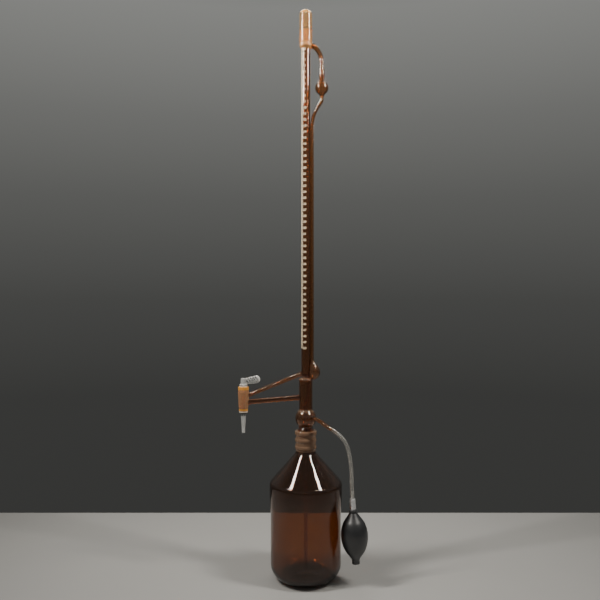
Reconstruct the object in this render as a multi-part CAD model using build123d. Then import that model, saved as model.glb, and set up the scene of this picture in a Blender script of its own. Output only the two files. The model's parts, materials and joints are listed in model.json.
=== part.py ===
"""Automatic-zero burette, 50 ml, on a two litre amber reservoir bottle, filled by a rubber hand bulb.

The frame's origin is on the bench plane, on the axis of the reservoir bottle. +Z is up, the outlet
stopcock stands out towards -X, the filling tube and the hand bulb are on the +X side, and the scale
faces -Y. Sizes are in millimetres. The glass of the burette is one fused piece on the real object;
here each length of tube that the glassblower joins is its own solid, and they meet face to face.
"""

import math
import os

from build123d import *

os.makedirs("parts", exist_ok=True)

# ---------------------------------------------------------------- driving sizes
# reservoir bottle
SHOULDER_R = 65.2      # band under the shoulder
BODY_R = 63.3
HEEL_FILLET = 28.0
WALL = 3.0
RIM_Z = 265.0
NECK_R = 17.7
NECK_BEAD_R = 19.3
JOINT_TOP_R = 14.60    # standard taper 29/32, large end
JOINT_TAPER = 0.05     # radius change for each mm of length, 1:10 on the diameter
JOINT_LEN = 32.0
JOINT_GAP = 0.06

# burette column
STEM_R, STEM_BORE_R = 11.9, 9.6
STEM_TOP_Z = 360.0
INLET_BULB_R, INLET_BULB_Z = 18.8, 287.1
TUBE_R, TUBE_BORE_R = 7.9, 5.44     # 50 ml over the 538 mm scale
SCALE_ZERO_Z, SCALE_FULL_Z = 951.2, 413.2
TUBE_TOP_Z = 951.0
HEAD_R = 11.2
CAP_SEAT_Z = 962.0
CAP_CONE_R = 8.9
CAP_CONE_TOP_Z = 984.0
CAP_R, CAP_TOP_Z = 11.6, 1021.0
CAP_VENT_R = 2.0

# filling tube beside the column
SIDE_R, SIDE_BORE_R = 3.2, 1.7
TOP_R, TOP_BORE_R = 4.2, 2.6
SPLASH_R, SPLASH_X, SPLASH_Z = 12.0, 28.8, 881.0
FOOT_X, FOOT_TOP_Z = 11.15, 394.0
RISER_R, RISER_BORE_R = 3.0, 1.7
DIP_BOTTOM_Z = 14.0

# outlet arm and stopcock
COCK_X = -112.2
COCK_TOP_Z, COCK_BOTTOM_Z = 343.8, 300.0
PLUG_TOP_R = 7.25
PLUG_GAP = 0.03
ARM_R, ARM_BORE_R = 3.4, 1.0
BRACE_R = 4.3
JET_R, JET_BORE_R = 3.05, 0.8
JET_TIP_Z = 261.0

# hand bulb and its hose
HOSE_R, HOSE_BORE_R = 3.4, 2.2
NOZZLE_R = 2.15
HOSE_ROUTE = [
    (45.2, -28.5, 272.0),
    (63.4, -29.8, 260.0),
    (73.6, -30.8, 240.6),
    (77.9, -31.3, 218.6),
    (80.0, -31.7, 196.6),
    (80.1, -32.0, 174.5),
    (81.3, -32.2, 152.5),
]
BALL_R = 1.9


# ---------------------------------------------------------------- helpers
def rounded(points):
    """Edges of an open outline through (a, b) or (a, b, fillet) points, in the XZ plane."""
    pts = [(p[0], p[1], p[2] if len(p) > 2 else 0.0) for p in points]
    edges, start = [], Vector(pts[0][0], 0, pts[0][1])
    for i in range(1, len(pts) - 1):
        p0 = Vector(pts[i - 1][0], 0, pts[i - 1][1])
        p1 = Vector(pts[i][0], 0, pts[i][1])
        p2 = Vector(pts[i + 1][0], 0, pts[i + 1][1])
        r = pts[i][2]
        u, v = (p0 - p1).normalized(), (p2 - p1).normalized()
        cosine = max(-1.0, min(1.0, u.dot(v)))
        turn = math.pi - math.acos(cosine)
        if r <= 0 or turn < 1e-6:
            edges.append(Line(start, p1))
            start = p1
            continue
        t = r * math.tan(turn / 2)
        a, b = p1 + u * t, p1 + v * t
        middle = (u + v).normalized()
        centre = p1 + middle * (r / math.cos(turn / 2))
        edges.append(Line(start, a))
        edges.append(ThreePointArc(a, centre - middle * r, b))
        start = b
    edges.append(Line(start, Vector(pts[-1][0], 0, pts[-1][1])))
    return [e for e in edges if e.length > 1e-6]


def lathe(points):
    """A solid turned about Z from a closed outline of (r, z) or (r, z, fillet) points."""
    first = points[0]
    edges = rounded(list(points) + [(first[0], first[1])])
    face = make_face(Wire(Wire(edges).edges()).edges())
    return revolve(face, Axis.Z)


def lathe_mixed(edges):
    """A solid turned about Z from edges in the XZ plane."""
    return revolve(make_face(Wire(edges).edges()), Axis.Z)


def spline(points):
    return Spline([Vector(r, 0, z) for r, z in points])


def line(a, b):
    return Line(Vector(a[0], 0, a[1]), Vector(b[0], 0, b[1]))


def route_path(points, share=0.45, top=250.0):
    """Straight runs joined by tangent arcs, and the arcs' radii."""
    pts, radii = [Vector(*p) for p in points], []
    for i in range(1, len(pts) - 1):
        a, b = pts[i] - pts[i - 1], pts[i + 1] - pts[i]
        turn = math.radians(a.get_angle(b))
        radii.append(min(top, share * min(a.length, b.length) / math.tan(turn / 2)))
    return FilletPolyline(pts, radius=radii), radii


def tube(points, outer, bore=0.0, **kw):
    path, radii = route_path(points, **kw)
    start = Vector(*points[0])
    ahead = (Vector(*points[1]) - start).normalized()
    plane = Plane(origin=start, z_dir=ahead)
    section = Circle(outer) - Circle(bore) if bore else Circle(outer)
    return sweep(plane * section, path=path), path, radii


def rod(a, b, radius):
    a, b = Vector(*a), Vector(*b)
    return Plane(origin=a, z_dir=(b - a)) * Cylinder(
        radius, (b - a).length, align=(Align.CENTER, Align.CENTER, Align.MIN)
    )


def column(radius, z0, z1, x=0.0, y=0.0):
    return Pos(x, y, z0) * Cylinder(
        radius, z1 - z0, align=(Align.CENTER, Align.CENTER, Align.MIN)
    )


PARTS = {}


def keep(name, shape):
    solids = shape.solids()
    assert solids, name
    PARTS[name] = shape
    return shape


# ---------------------------------------------------------------- reservoir bottle
def socket_r(z):
    return JOINT_TOP_R - JOINT_TAPER * (RIM_Z - z)


slope = 0.875                      # shoulder cone, radius for each mm of height
cone_at = lambda z: 24.2 + (218.6 - z) * slope
shoulder_z = 218.6 - (SHOULDER_R - 24.2) / slope
neck_foot_z = 218.6 + (24.2 - NECK_R) / slope
inner_cone_at = lambda z: 21.9 + (216.6 - z) * slope
inner_shoulder_z = 216.6 - (SHOULDER_R - WALL - 21.9) / slope
bottle_outline = [
    (0.0, 5.0),
    (9.0, 4.6, 20.0),
    (24.0, 0.0, 4.0),
    (BODY_R, 0.0, HEEL_FILLET),
    (BODY_R, 118.0, 120.0),
    (SHOULDER_R, 150.0, 60.0),
    (SHOULDER_R, shoulder_z, 13.0),
    (NECK_R, neck_foot_z, 9.0),
    (NECK_R, 230.6, 1.2),
    (NECK_BEAD_R, 232.8, 1.7),
    (NECK_BEAD_R, 236.8, 1.7),
    (NECK_R + 0.5, 239.0, 1.4),
    (NECK_R + 0.5, 244.2, 1.4),
    (NECK_BEAD_R, 246.2, 1.7),
    (NECK_BEAD_R, 249.8, 1.7),
    (NECK_R + 0.5, 252.0, 1.4),
    (NECK_R + 0.5, 256.4, 1.2),
    (NECK_BEAD_R + 0.4, 258.6, 1.6),
    (NECK_BEAD_R + 0.4, RIM_Z, 2.2),
    (JOINT_TOP_R, RIM_Z),
    (socket_r(RIM_Z - JOINT_LEN), RIM_Z - JOINT_LEN),
    (13.3, 232.7),
    (13.3, 216.6 + (21.9 - 13.3) / slope, 6.0),
    (SHOULDER_R - WALL, inner_shoulder_z, 10.0),
    (SHOULDER_R - WALL, 150.0, 63.0),
    (BODY_R - WALL, 118.0, 117.0),
    (BODY_R - WALL, 5.5, HEEL_FILLET - 3.5),
    (26.0, 5.5, 8.0),
    (9.0, 9.6, 20.0),
    (0.0, 10.0),
]
keep("reservoir_bottle", lathe(bottle_outline))

# ---------------------------------------------------------------- burette, lower glass
def cone_r(z):
    return socket_r(z) - JOINT_GAP


ground_cone = lathe(
    [
        (10.4, 231.5, 0.5),
        (cone_r(231.5), 231.5, 0.6),
        (cone_r(RIM_Z), RIM_Z),
        (cone_r(RIM_Z), 267.0, 1.6),
        (12.3, 270.0, 2.5),
        (12.3, 271.6),
        (10.2, 271.6),
        (10.2, 268.4, 2.0),
        (11.2, 264.5, 2.0),
    ]
)
keep("ground_cone", ground_cone)

low_cut = math.sqrt(INLET_BULB_R**2 - 13.4**2)
high_cut = math.sqrt(INLET_BULB_R**2 - 12.9**2)
ri = INLET_BULB_R - 2.0
low_in = math.sqrt(ri**2 - 10.6**2)
high_in = math.sqrt(ri**2 - 10.1**2)
bz = INLET_BULB_Z
inlet_bulb = lathe_mixed(
    [
        ThreePointArc((12.3, 0, 271.6), (12.6, 0, 272.8), (13.4, 0, bz - low_cut)),
        ThreePointArc((13.4, 0, bz - low_cut), (INLET_BULB_R, 0, bz), (12.9, 0, bz + high_cut)),
        ThreePointArc((12.9, 0, bz + high_cut), (12.15, 0, 302.1), (STEM_R, 0, 303.5)),
        line((STEM_R, 303.5), (STEM_BORE_R, 303.5)),
        ThreePointArc((STEM_BORE_R, 0, 303.5), (9.7, 0, 302.0), (10.1, 0, bz + high_in)),
        ThreePointArc((10.1, 0, bz + high_in), (ri, 0, bz), (10.6, 0, bz - low_in)),
        ThreePointArc((10.6, 0, bz - low_in), (10.3, 0, 272.9), (10.2, 0, 271.6)),
        line((10.2, 271.6), (12.3, 271.6)),
    ]
)

stem_tube = lathe(
    [
        (STEM_R, 303.5),
        (STEM_R, 358.0, 3.0),
        (6.4, STEM_TOP_Z),
        (0.0, STEM_TOP_Z),
        (0.0, 355.5),
        (STEM_BORE_R, 355.5, 0.8),
        (STEM_BORE_R, 303.5),
    ]
)

RISER_X = 5.0
riser_points = [(0, 0, 262.0), (0, 0, 312.0), (RISER_X, 0, 330.0), (RISER_X, 0, 355.5)]
riser_tube, riser_path, _ = tube(riser_points, RISER_R, RISER_BORE_R)
riser_port = rod((RISER_X, 0, 354.0), (13.8, 0, 365.5), RISER_BORE_R)

# lower end of the graduated tube, closed on top of the stem
graduated_tube = lathe(
    [
        (0.0, STEM_TOP_Z),
        (6.4, STEM_TOP_Z),
        (TUBE_R, 362.6, 2.0),
        (TUBE_R, TUBE_TOP_Z),
        (TUBE_BORE_R, TUBE_TOP_Z),
        (TUBE_BORE_R, 365.5, 3.6),
        (0.0, 364.5),
    ]
)

# foot of the filling tube, blown out into a pocket beside the tube's lower end
# (centre x, z, outer radius, wall)
foot_rings = [
    (FOOT_X, FOOT_TOP_Z, SIDE_R, SIDE_R - SIDE_BORE_R),
    (FOOT_X + 0.8, 388.5, 4.1, 1.6),
    (FOOT_X + 2.4, 382.5, 6.9, 1.7),
    (FOOT_X + 3.5, 376.5, 9.8, 1.8),
    (FOOT_X + 3.9, 370.5, 10.8, 1.8),
    (FOOT_X + 3.9, 364.5, 9.9, 1.8),
    (FOOT_X + 3.6, 359.6, 7.0, 2.0),
    (FOOT_X + 3.4, 356.8, 2.8, 2.0),
]


def ring_loft(rings):
    return loft([Pos(x, 0, z) * Circle(r) for x, z, r in rings])


foot = ring_loft([(x, z, r) for x, z, r, w in foot_rings])
foot_hollow = ring_loft([(x, z, r - w) for x, z, r, w in foot_rings[:-1]])
foot = foot - foot_hollow
tube_blank = lathe(
    [(0.0, STEM_TOP_Z), (6.4, STEM_TOP_Z), (TUBE_R, 362.6, 2.0), (TUBE_R, 400.0), (0.0, 400.0)]
)
foot = foot - tube_blank
foot = foot - stem_tube
foot = foot - riser_port
foot = max(foot.solids(), key=lambda s: s.volume)
keep("filling_tube_foot", foot)

# ---------------------------------------------------------------- outlet arm, brace, stopcock barrel
arm_z = lambda x: 357.8 + 0.404 * (x + 30.2)
brace_z = lambda x: 322.3 + 0.0876 * (x + 30.2)
plug_r = lambda z: PLUG_TOP_R - JOINT_TAPER * (COCK_TOP_Z - z)

barrel_blank = Pos(COCK_X, 0, 0) * lathe(
    [
        (0.0, COCK_BOTTOM_Z),
        (8.2, COCK_BOTTOM_Z, 0.9),
        (8.2, 304.0, 1.0),
        (8.9, 306.5, 2.0),
        (10.1, 333.5, 3.0),
        (9.5, 338.0, 1.5),
        (9.5, COCK_TOP_Z, 1.3),
        (0.0, COCK_TOP_Z),
    ]
)
plug_hole = Pos(COCK_X, 0, 0) * lathe(
    [
        (0.0, COCK_BOTTOM_Z - 1.0),
        (plug_r(COCK_BOTTOM_Z - 1.0), COCK_BOTTOM_Z - 1.0),
        (plug_r(COCK_TOP_Z + 1.0), COCK_TOP_Z + 1.0),
        (0.0, COCK_TOP_Z + 1.0),
    ]
)
arm_from, arm_to = (-5.0, 0, arm_z(-5.0)), (-110.0, 0, arm_z(-110.0))
arm_bore = rod((-2.0, 0, arm_z(-2.0)), (-110.0, 0, arm_z(-110.0)), ARM_BORE_R)
arm = rod(arm_from, arm_to, ARM_R) - arm_bore - column(TUBE_R, 350, 400) - barrel_blank
arm = max(arm.solids(), key=lambda s: s.volume)
keep("outlet_arm", arm)

brace = rod((-8.0, 0, brace_z(-8.0)), (-110.0, 0, brace_z(-110.0)), BRACE_R)
brace = brace - column(STEM_R, 290, 350) - barrel_blank
brace = max(brace.solids(), key=lambda s: s.volume)
keep("brace_rod", brace)

stopcock_barrel = barrel_blank - plug_hole - arm_bore
keep("stopcock_barrel", stopcock_barrel)

graduated_tube = graduated_tube - arm_bore
keep("graduated_tube", graduated_tube)
keep("stem_tube", stem_tube - riser_port)
keep("riser_tube", riser_tube)
keep(
    "dip_tube",
    column(RISER_R, DIP_BOTTOM_Z, 262.0)
    - column(RISER_BORE_R, DIP_BOTTOM_Z - 1, 263.0)
    - Pos(0, 0, DIP_BOTTOM_Z) * Rot(0, 24, 0) * Pos(0, 0, -10) * Box(30, 30, 20),
)

# ---------------------------------------------------------------- zero head with its tip
zero_head = lathe(
    [
        (TUBE_R, TUBE_TOP_Z),
        (HEAD_R, 955.2, 2.4),
        (HEAD_R, CAP_SEAT_Z, 1.0),
        (CAP_CONE_R, CAP_SEAT_Z),
        (CAP_CONE_R - JOINT_TAPER * (CAP_CONE_TOP_Z - CAP_SEAT_Z), CAP_CONE_TOP_Z, 0.5),
        (6.6, CAP_CONE_TOP_Z, 0.4),
        (6.6, 965.0, 3.0),
        (8.7, 961.4, 2.0),
        (8.7, 956.4, 2.0),
        (TUBE_BORE_R, TUBE_TOP_Z, 0.0),
    ]
)
HEAD_PORT_Z = 958.4
zero_head = zero_head - rod((5.0, 0, HEAD_PORT_Z), (14.0, 0, HEAD_PORT_Z), 1.6)
keep("zero_head", zero_head)
tip, _, _ = tube(
    [(8.6, 0, HEAD_PORT_Z), (0.4, 0, HEAD_PORT_Z), (0.4, 0, SCALE_ZERO_Z)], 1.75, 0.9, share=0.4
)
tip = tip - zero_head
tip = min(tip.solids(), key=lambda s: s.center().X)
keep("zero_tip", tip)

# ---------------------------------------------------------------- filling tube over the top
top_points = [
    (9.0, 0, HEAD_PORT_Z),
    (18.4, 0, 953.6),
    (26.4, 0, 941.2),
    (SPLASH_X, 0, 928.0),
    (SPLASH_X, 0, 918.0),
]
top_tube, _, _ = tube(top_points, TOP_R, TOP_BORE_R)
top_tube = top_tube - column(HEAD_R, 940.0, 970.0)
top_tube = max(top_tube.solids(), key=lambda s: s.volume)
NECK = 14.6
swell = [(TOP_R, 918.0), (4.8, 912.5), (5.5, 905.5), (5.0, 900.0), (TOP_R, SPLASH_Z + NECK)]
swell_in = [(r - 1.6, z) for r, z in reversed(swell)]
top_swell = Pos(SPLASH_X, 0, 0) * lathe_mixed(
    [
        spline(swell),
        line(swell[-1], swell_in[0]),
        spline(swell_in),
        line(swell_in[-1], swell[0]),
    ]
)
top_tube = top_tube + top_swell

ws = math.sqrt(SPLASH_R**2 - 5.2**2)
wi = math.sqrt((SPLASH_R - 1.7) ** 2 - 3.4**2)
LOW_NECK = 18.0
splash = lathe_mixed(
    [
        line((TOP_BORE_R, NECK), (TOP_R, NECK)),
        ThreePointArc((TOP_R, 0, NECK), (4.35, 0, 12.4), (5.2, 0, ws)),
        ThreePointArc((5.2, 0, ws), (SPLASH_R, 0, 0), (5.2, 0, -ws)),
        spline([(5.2, -ws), (4.2, -13.4), (3.5, -15.8), (SIDE_R, -LOW_NECK)]),
        line((SIDE_R, -LOW_NECK), (SIDE_BORE_R, -LOW_NECK)),
        spline([(SIDE_BORE_R, -LOW_NECK), (1.9, -15.0), (2.5, -12.0), (3.4, -wi)]),
        ThreePointArc((3.4, 0, -wi), (SPLASH_R - 1.7, 0, 0), (3.4, 0, wi)),
        ThreePointArc((3.4, 0, wi), (2.75, 0, 12.3), (TOP_BORE_R, 0, NECK)),
    ]
)
keep("filling_tube_top", top_tube)
keep("splash_bulb", Pos(SPLASH_X, 0, SPLASH_Z) * splash)

# the long straight run lies beside the graduated tube
side_points = [
    (SPLASH_X, 0, SPLASH_Z - LOW_NECK),
    (SPLASH_X, 0, 857.0),
    (21.2, 0, 846.4),
    (14.0, 0, 832.4),
    (FOOT_X, 0, 816.0),
    (FOOT_X, 0, FOOT_TOP_Z),
]
side_tube, _, _ = tube(side_points, SIDE_R, SIDE_BORE_R, share=0.45, top=60.0)
keep("filling_tube", side_tube)

# ---------------------------------------------------------------- air inlet on the bulb
P = [Vector(*p) for p in HOSE_ROUTE]
ahead = (P[1] - P[0]).normalized()
u = Vector(math.cos(math.radians(50)), -math.sin(math.radians(50)), 0)
air_points = [
    tuple(u * 14.0 + Vector(0, 0, 291.5)),
    (17.0, -20.0, 289.5),
    (25.0, -25.2, 286.0),
    tuple(P[0] - ahead * 14.0),
    tuple(P[0]),
]
air_tube, air_path, air_radii = tube(air_points, 3.3, 1.6)
air_blank, _, _ = tube(air_points, 3.3)
bulb_ball = Pos(0, 0, bz) * Sphere(INLET_BULB_R)
air_tube = air_tube - bulb_ball
air_tube = max(air_tube.solids(), key=lambda s: s.volume)
nozzle = rod(P[0], P[0] + ahead * 11.0, NOZZLE_R) - rod(
    P[0] - ahead, P[0] + ahead * 12.0, 1.3
)
air_tube = air_tube + nozzle
air_bore = rod(u * 12.0 + Vector(0, 0, 291.7), Vector(17.0, -20.0, 289.5), 1.6)
keep("air_inlet_tube", air_tube)
keep("inlet_bulb", inlet_bulb - air_bore)

# ---------------------------------------------------------------- hose
hose, hose_path, hose_radii = tube(HOSE_ROUTE, HOSE_R, HOSE_BORE_R)
keep("hose", hose)
section = math.pi * (HOSE_R**2 - HOSE_BORE_R**2)
print("hose length", round(hose_path.length, 2), "radii", [round(r, 1) for r in hose_radii])
print("hose volume", round(hose.volume, 1), "section x length", round(section * hose_path.length, 1))
print("air inlet radii", [round(r, 1) for r in air_radii])

# ---------------------------------------------------------------- valves and hand bulb, on one tilted axis
down = (P[-1] - P[-2]).normalized()
axis_plane = Plane(origin=P[-1], x_dir=Vector(0, -1, 0), z_dir=down)
place = axis_plane.location


def turned(points):
    return place * lathe(points)


valve_body = lathe(
    [
        (1.1, -11.0),
        (1.75, -11.0),
        (NOZZLE_R, -10.2),
        (NOZZLE_R, 0.0),
        (4.6, 0.0, 0.3),
        (4.6, 1.0, 0.2),
        (3.4, 1.0),
        (3.4, 10.2),
        (5.0, 10.2, 0.3),
        (5.3, 11.4, 0.5),
        (5.3, 18.2, 0.5),
        (4.8, 19.6, 0.3),
        (4.0, 19.6),
        (4.0, 31.5, 0.4),
        (1.2, 31.5),
        (1.2, 19.3),
        (2.5, 18.0),
        (2.5, 11.6),
        (1.1, 11.0),
    ]
)
valve_body = valve_body - rod((0, 0, 5.6), (6, 0, 5.6), 0.6)
pin_hole = rod((-5.0, 0, 13.5), (5.0, 0, 13.5), 0.5)
valve_body = valve_body - pin_hole
keep("bulb_valve_body", place * valve_body)
keep("delivery_ball_pin", place * rod((-5.0, 0, 13.5), (5.0, 0, 13.5), 0.5))
ball_s = 20.5 - BALL_R * math.sqrt(2) - 0.05
keep("delivery_ball", place * Pos(0, 0, ball_s) * Sphere(BALL_R))

collar = lathe([(3.45, 1.15, 0.2), (5.0, 1.15, 0.5), (5.0, 10.0, 0.5), (3.45, 10.0, 0.2)])
for k in range(20):
    a = math.radians(18 * k)
    collar = collar - column(0.42, 2.4, 8.8, 5.12 * math.cos(a), 5.12 * math.sin(a))
collar = collar - rod((0, 0, 5.6), (0, 7, 5.6), 0.6)
keep("vent_collar", place * collar)

bulb_outer = [
    (6.9, 24.8), (8.3, 27.0), (11.0, 31.2), (14.2, 35.8), (17.7, 40.8), (20.3, 46.4), (22.2, 52.8),
    (23.4, 60.0), (23.6, 66.0), (23.1, 72.4), (22.0, 78.4), (20.2, 84.6), (17.4, 90.8), (14.2, 95.8),
    (11.2, 99.8), (8.6, 103.4), (6.8, 107.4),
]
bulb_inner = [
    (4.2, 99.4), (8.4, 97.6), (12.0, 94.0), (15.1, 89.2), (17.6, 83.6), (19.3, 77.8), (20.4, 72.0),
    (20.9, 66.0), (20.7, 60.4), (19.6, 53.8), (17.8, 47.6), (15.2, 42.4), (11.8, 37.4), (8.2, 33.6),
    (4.0, 30.6),
]
rubber_bulb = lathe_mixed(
    rounded([(4.0, 19.7), (7.6, 19.7, 0.7), (7.6, 22.6, 0.7), (6.9, 23.4, 0.4), (6.9, 24.8)])
    + [spline(bulb_outer)]
    + rounded([(6.8, 107.4), (6.4, 114.0, 0.9), (4.2, 114.0)])
    + [line((4.2, 114.0), (4.2, 99.4)), spline(bulb_inner), line((4.0, 30.6), (4.0, 19.7))]
)
keep("rubber_bulb", place * rubber_bulb)

suction_body = lathe(
    [
        (2.5, 100.4),
        (4.2, 100.4, 0.3),
        (4.2, 114.0),
        (5.3, 114.0, 0.2),
        (5.3, 115.0, 0.4),
        (1.2, 115.0),
        (1.2, 108.3),
        (2.5, 107.0),
    ]
)
suction_body = suction_body - rod((-5.0, 0, 102.3), (5.0, 0, 102.3), 0.5)
keep("suction_valve_body", place * suction_body)
keep("suction_ball_pin", place * rod((-4.1, 0, 102.3), (4.1, 0, 102.3), 0.5))
suction_s = 109.5 - BALL_R * math.sqrt(2) - 0.05
keep("suction_ball", place * Pos(0, 0, suction_s) * Sphere(BALL_R))

# ---------------------------------------------------------------- stopcock key with its jet
key_r = lambda z: plug_r(z) - PLUG_GAP
key = lathe(
    [
        (0.0, 359.0),
        (4.8, 359.0, 2.4),
        (5.3, 349.0, 2.0),
        (key_r(346.2), 346.6, 1.0),
        (key_r(345.2), 345.2),
        (key_r(297.0), 297.0),
        (4.1, 297.0),
        (4.1, 295.0),
        (4.7, 295.0, 0.4),
        (4.65, 291.0, 3.0),
        (JET_R, 268.6, 8.0),
        (JET_R, JET_TIP_Z),
        (0.0, JET_TIP_Z),
    ]
)
port_z = arm_z(COCK_X + 6.4)
key = key - column(JET_BORE_R, JET_TIP_Z - 1, port_z)
key = key - rod((0, 0, port_z), (9.0, 0, port_z), 1.1)
key = key - lathe([(0.0, 296.0), (JET_BORE_R, 296.0), (1.1, 300.0), (1.1, port_z), (0.0, port_z)])
keep("stopcock_key", Pos(COCK_X, 0, 0) * key)

# lever: a flattened glass paddle drawn out of the shank, rising a little towards its end
(x1, z1, r1), (x2, z2, r2) = (4.5, 353.2, 5.4), (22.9, 356.6, 7.1)
dx, dz = x2 - x1, z2 - z1
gap = math.hypot(dx, dz)
lean, spread = math.atan2(dz, dx), math.acos((r1 - r2) / gap)
pt = lambda x, z, r, a: Vector(x + r * math.cos(a), 0, z + r * math.sin(a))
a_up, a_dn = lean + spread, lean - spread
paddle_wire = Wire(
    [
        Line(pt(x1, z1, r1, a_up), pt(x2, z2, r2, a_up)),
        ThreePointArc(pt(x2, z2, r2, a_up), pt(x2, z2, r2, lean), pt(x2, z2, r2, a_dn)),
        Line(pt(x2, z2, r2, a_dn), pt(x1, z1, r1, a_dn)),
        ThreePointArc(pt(x1, z1, r1, a_dn), pt(x1, z1, r1, lean + math.pi), pt(x1, z1, r1, a_up)),
    ]
)
paddle = extrude(make_face(paddle_wire.edges()), amount=2.9, dir=(0, 1, 0), both=True)
paddle = fillet(paddle.edges().filter_by(lambda e: abs(e.center().Y) > 2.8), 2.5)
paddle = paddle - lathe(
    [
        (0.0, 359.0), (4.8, 359.0, 2.4), (5.3, 349.0, 2.0), (key_r(346.2), 346.6, 1.0),
        (key_r(345.2), 345.2), (0.0, 345.2),
    ]
)
paddle = max(paddle.solids(), key=lambda s: s.volume)
keep("key_handle", Pos(COCK_X, 0, 0) * paddle)
keep(
    "key_washer",
    Pos(COCK_X, 0, 0)
    * lathe([(key_r(299.8) + 0.02, 297.3, 0.2), (7.8, 297.3, 0.4), (7.8, 299.8, 0.4), (key_r(299.8) + 0.02, 299.8, 0.2)]),
)
keep("key_retaining_ring", Pos(COCK_X, 0, 296.0) * Torus(5.1, 0.99))

# ---------------------------------------------------------------- dust cap
cap_low = CAP_SEAT_Z + 0.15
cap = lathe(
    [
        (CAP_CONE_R + JOINT_GAP, cap_low, 0.3),
        (CAP_R, cap_low, 0.8),
        (CAP_R, CAP_TOP_Z - 1.0, 8.6),
        (0.0, CAP_TOP_Z),
        (0.0, CAP_TOP_Z - 2.2),
        (CAP_R - 2.2, CAP_TOP_Z - 3.0, 6.4),
        (CAP_R - 2.2, 989.0, 2.0),
        (CAP_CONE_R + JOINT_GAP - JOINT_TAPER * (985.5 - CAP_SEAT_Z), 985.5, 1.0),
    ]
)
cap = cap - rod((0, -5, 1011.5), (0, -14, 1011.5), CAP_VENT_R)
keep("dust_cap", cap)

# ---------------------------------------------------------------- write
for name, shape in PARTS.items():
    solids = shape.solids()
    export_step(solids[0] if len(solids) == 1 else Compound(children=list(solids)), f"parts/{name}.step")
print(len(PARTS), "nodes")
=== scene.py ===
"""Looks of the automatic burette: amber glass, enamel scale, hand bulb, hose and metal parts.

Everything is in the CAD frame, in metres. The shapes below are written in millimetres and scaled.
"""

import json
import math

import bmesh
import bpy
from mathutils import Matrix, Vector


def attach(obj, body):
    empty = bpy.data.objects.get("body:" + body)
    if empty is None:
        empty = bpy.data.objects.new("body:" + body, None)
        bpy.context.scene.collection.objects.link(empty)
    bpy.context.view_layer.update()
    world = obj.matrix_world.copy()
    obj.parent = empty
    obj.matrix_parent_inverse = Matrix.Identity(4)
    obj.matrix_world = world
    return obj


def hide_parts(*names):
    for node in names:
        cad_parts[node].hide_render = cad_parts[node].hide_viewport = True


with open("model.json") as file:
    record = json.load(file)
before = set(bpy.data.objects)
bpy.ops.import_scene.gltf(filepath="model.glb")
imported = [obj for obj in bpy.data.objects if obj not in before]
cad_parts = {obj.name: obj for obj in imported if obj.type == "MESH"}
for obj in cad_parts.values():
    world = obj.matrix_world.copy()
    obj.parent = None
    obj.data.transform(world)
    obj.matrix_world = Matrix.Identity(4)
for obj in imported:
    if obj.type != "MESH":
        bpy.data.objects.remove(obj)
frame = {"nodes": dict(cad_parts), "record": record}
bpy.context.view_layer.update()
NODES = frame["nodes"]
HOME = {n: b for b, ns in frame["record"]["behaviour"]["bodies"].items() for n in ns}
MM = 0.001
scene = bpy.context.scene

# ---------------------------------------------------------------- camera
camera = bpy.data.objects.new("camera", bpy.data.cameras.new("camera"))
scene.collection.objects.link(camera)
camera.location = (-0.0104, -1.15, 0.4995)
camera.rotation_euler = (math.pi / 2, 0, 0)
camera.data.lens = 38.33
camera.data.sensor_width = 36
camera.data.clip_start, camera.data.clip_end = 0.01, 60
scene.camera = camera


# ---------------------------------------------------------------- shape helpers
def arc_points(p0, p1, p2, r, step):
    """Points of the fillet at corner p1, or the corner itself."""
    u, v = (p0 - p1).normalized(), (p2 - p1).normalized()
    turn = math.pi - math.acos(max(-1.0, min(1.0, u.dot(v))))
    if r <= 0 or turn < 1e-5:
        return [p1]
    t = r * math.tan(turn / 2)
    a, b = p1 + u * t, p1 + v * t
    centre = p1 + (u + v).normalized() * (r / math.cos(turn / 2))
    x = (a - centre).normalized()
    y = (b - centre) - x * (b - centre).dot(x)
    y.normalize()
    n = max(2, math.ceil(turn / step))
    return [centre + x * (r * math.cos(turn * k / n)) + y * (r * math.sin(turn * k / n)) for k in range(n + 1)]


def outline(points, step=math.radians(8)):
    """(r, z) points of an open outline given as (r, z) or (r, z, fillet)."""
    pts = [Vector((p[0], p[1])) for p in points]
    out = [pts[0]]
    for i in range(1, len(pts) - 1):
        r = points[i][2] if len(points[i]) > 2 else 0.0
        out += arc_points(pts[i - 1], pts[i], pts[i + 1], r, step)
    return [tuple(p) for p in out] + [tuple(pts[-1])]


def smooth(points, n=6):
    """A curve through the points, as plain tuples."""
    p = [Vector(q) for q in points]
    p = [2 * p[0] - p[1]] + p + [2 * p[-1] - p[-2]]
    out = []
    for i in range(1, len(p) - 2):
        a, b, c, d = p[i - 1], p[i], p[i + 1], p[i + 2]
        for k in range(n):
            t = k / n
            q = b * 2 + (c - a) * t + (a * 2 - b * 5 + c * 4 - d) * t**2 + (b * 3 - a - c * 3 + d) * t**3
            out.append(tuple(q * 0.5))
    return out + [tuple(p[-2])]


def ball_arc(z, r, z0, z1, n=20):
    """(r, z) points on a sphere at height z from height z0 to z1."""
    a0, a1 = math.asin((z0 - z) / r), math.asin((z1 - z) / r)
    return [(r * math.cos(a0 + (a1 - a0) * k / n), z + r * math.sin(a0 + (a1 - a0) * k / n)) for k in range(n + 1)]


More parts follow.
